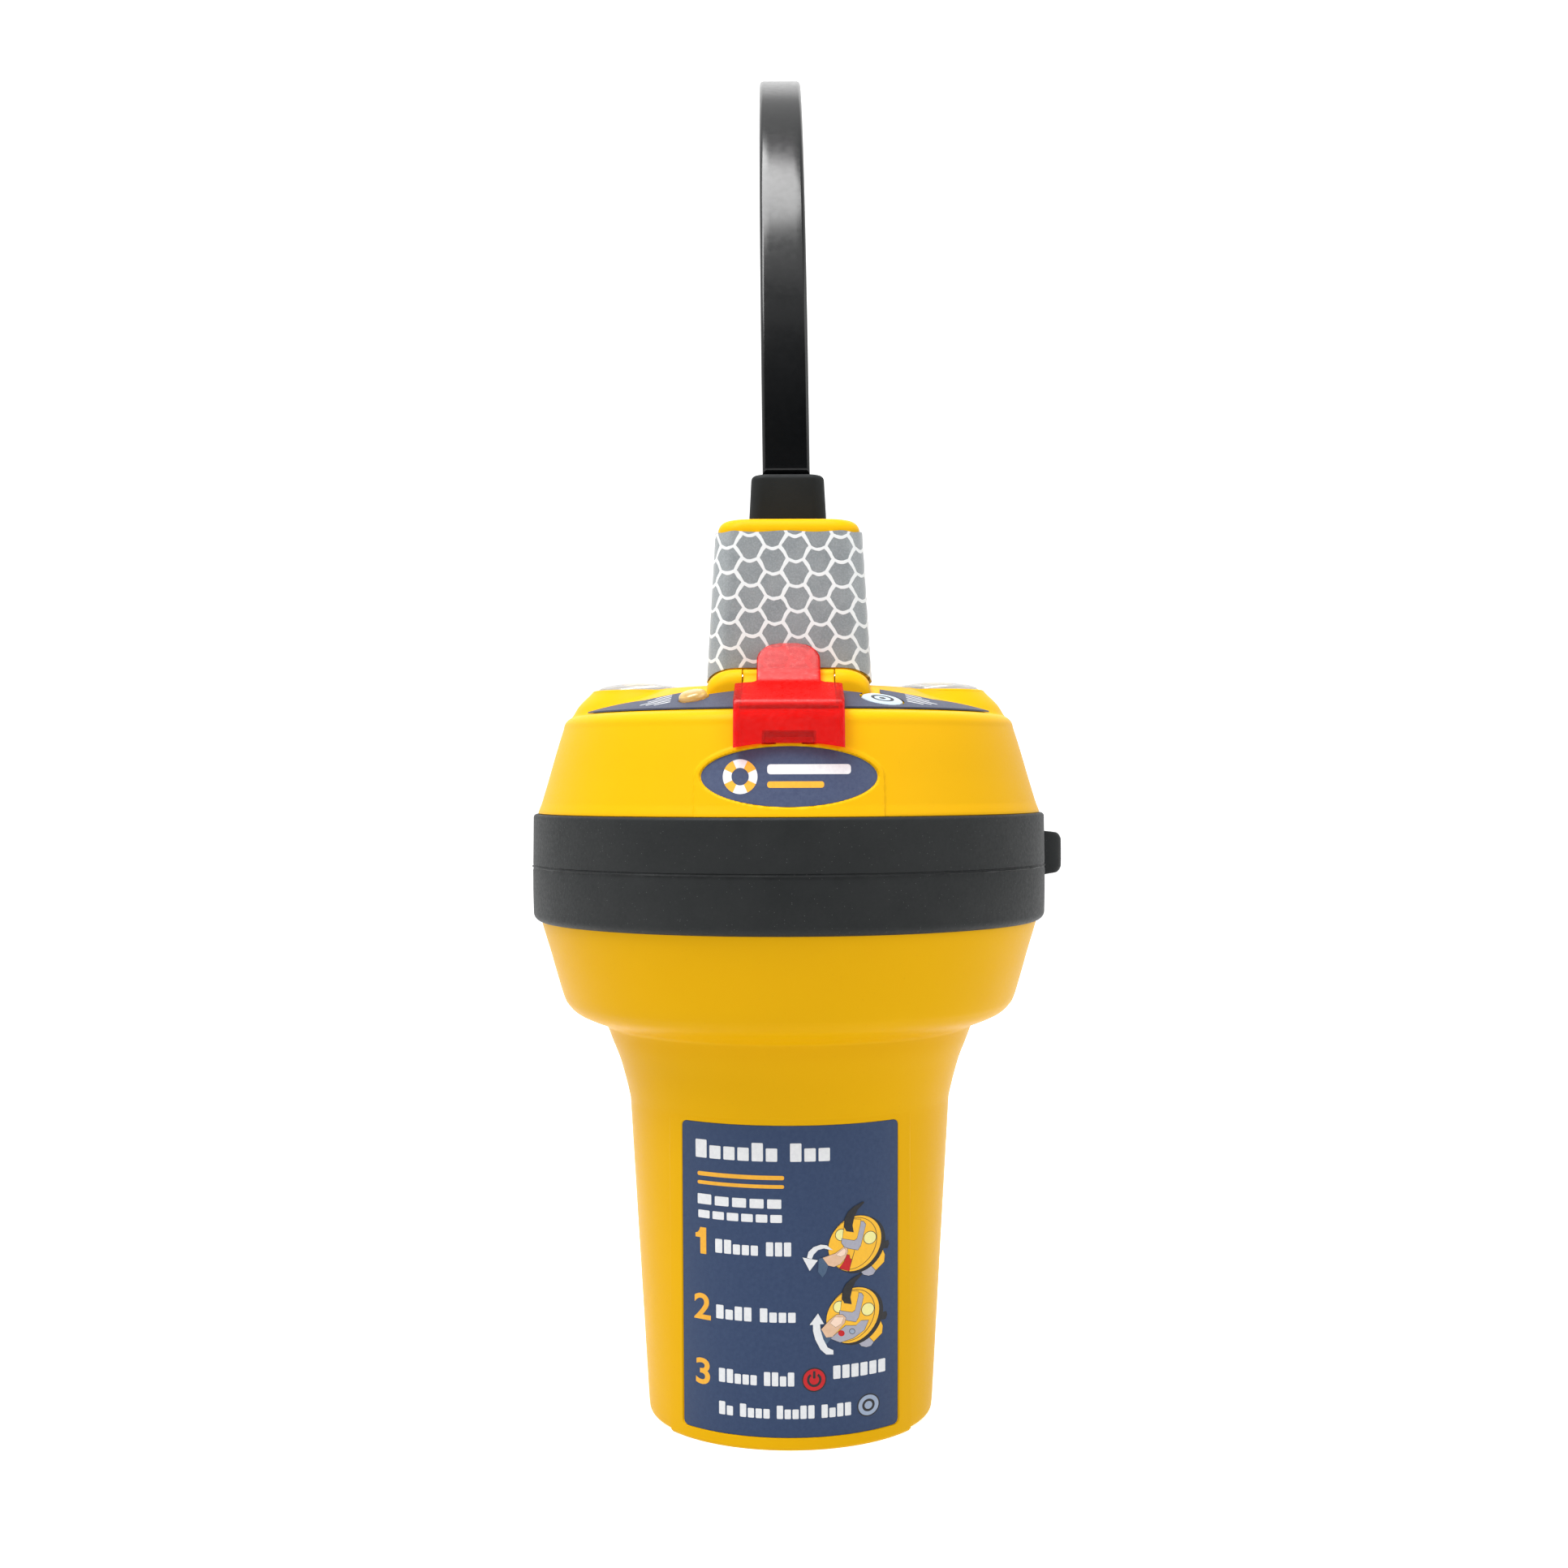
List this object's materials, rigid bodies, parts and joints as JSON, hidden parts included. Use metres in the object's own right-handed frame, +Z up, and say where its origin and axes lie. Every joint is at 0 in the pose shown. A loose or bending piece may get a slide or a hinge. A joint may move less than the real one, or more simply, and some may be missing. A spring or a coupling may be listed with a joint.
{
  "type": "emergency position beacon",
  "caption": "Hand-held floating distress beacon: stepped round case with rubber belt, mast, flexible blade antenna, strobe lights, and a break tab over a hinged key flap.",
  "frame": {"origin": "centre of the flat base", "axes": "+Z up along the case's axis, front with the tab and labels towards -Y, +X to the right of someone facing the front"},
  "size_m": [0.0933, 0.1149, 0.2559],
  "materials": {
    "amber_lens": "clear amber",
    "antenna_sleeve": "satin",
    "badge_plate": "printed film",
    "battery_board": "satin",
    "black_rubber": "matte",
    "bright_steel": "bright",
    "cell_wrap": "satin wrap",
    "ceramic": "matte",
    "circuit_board": "satin",
    "clear_lens": "clear",
    "instruction_label": "printed film",
    "keypad_overlay": "printed film",
    "on_key_red": "satin",
    "red_clear": "translucent, fine grain",
    "reflective_tape": "retro-reflective cells",
    "reflector_chrome": "mirror",
    "socket_brass": "satin",
    "test_key_blue": "satin",
    "yellow_case": "satin"
  },
  "bodies": {
    "case": {"antenna_boot": "black_rubber", "antenna_socket": "socket_brass", "antenna_tang": "bright_steel", "badge_plate": "badge_plate", "battery_cap": "battery_board", "battery_cell_1": "cell_wrap", "battery_cell_2": "cell_wrap", "battery_cell_3": "cell_wrap", "battery_cell_4": "cell_wrap", "battery_cell_5": "cell_wrap", "battery_cell_6": "cell_wrap", "battery_foot": "battery_board", "board_screw_1": "bright_steel", "board_screw_2": "bright_steel", "board_screw_3": "bright_steel", "board_screw_4": "bright_steel", "bumper_ring": "black_rubber", "case_screw_1": "bright_steel", "case_screw_2": "bright_steel", "case_screw_3": "bright_steel", "case_screw_4": "bright_steel", "case_seal": "black_rubber", "feed_cable": "black_rubber", "flap_hinge_pin": "bright_steel", "indicator_lens": "amber_lens", "instruction_label": "instruction_label", "keypad_overlay": "keypad_overlay", "lower_case": "yellow_case", "magnet_switch": "bright_steel", "main_board": "circuit_board", "on_switch": "bright_steel", "position_antenna": "ceramic", "radio_shield": "bright_steel", "reflective_tape": "reflective_tape", "strobe_board_left": "circuit_board", "strobe_board_right": "circuit_board", "strobe_led_left": "ceramic", "strobe_led_right": "ceramic", "strobe_lens_left": "clear_lens", "strobe_lens_right": "clear_lens", "strobe_reflector_left": "reflector_chrome", "strobe_reflector_right": "reflector_chrome", "test_switch": "bright_steel", "upper_case": "yellow_case", "water_contact_left": "bright_steel", "water_contact_right": "bright_steel"},
    "antenna": {"antenna_blade": "antenna_sleeve"},
    "tab": {"break_tab": "red_clear"},
    "flap": {"key_flap": "yellow_case"},
    "on_button": {"on_key": "on_key_red"},
    "test_button": {"test_key": "test_key_blue"}
  },
  "joints": [
    {"name": "antenna_flex", "type": "hinge", "parent": "case", "child": "antenna", "pos_m": [0, 0, 0.1638], "axis": [1, 0, 0], "range_deg": [-30, 35], "stiffness_Nm_per_rad": 0.25},
    {"name": "tab_swing", "type": "hinge", "parent": "case", "child": "tab", "pos_m": [0, -0.0425, 0.112], "axis": [1, 0, 0], "range_deg": [0, 150]},
    {"name": "flap_swing", "type": "hinge", "parent": "case", "child": "flap", "pos_m": [0, -0.0218, 0.126], "axis": [1, 0, 0], "range_deg": [-83, 0]},
    {"name": "on_press", "type": "slide", "parent": "case", "child": "on_button", "axis": [0, 0.3091, -0.951], "range_m": [0, 0.0008], "stiffness_N_per_m": 1500},
    {"name": "test_press", "type": "slide", "parent": "case", "child": "test_button", "axis": [-0.1509, 0.2698, -0.951], "range_m": [0, 0.0008], "stiffness_N_per_m": 1500}
  ],
  "couplings": [
    {"joint": "flap_swing", "follows": "tab_swing", "ratio": -0.55}
  ]
}
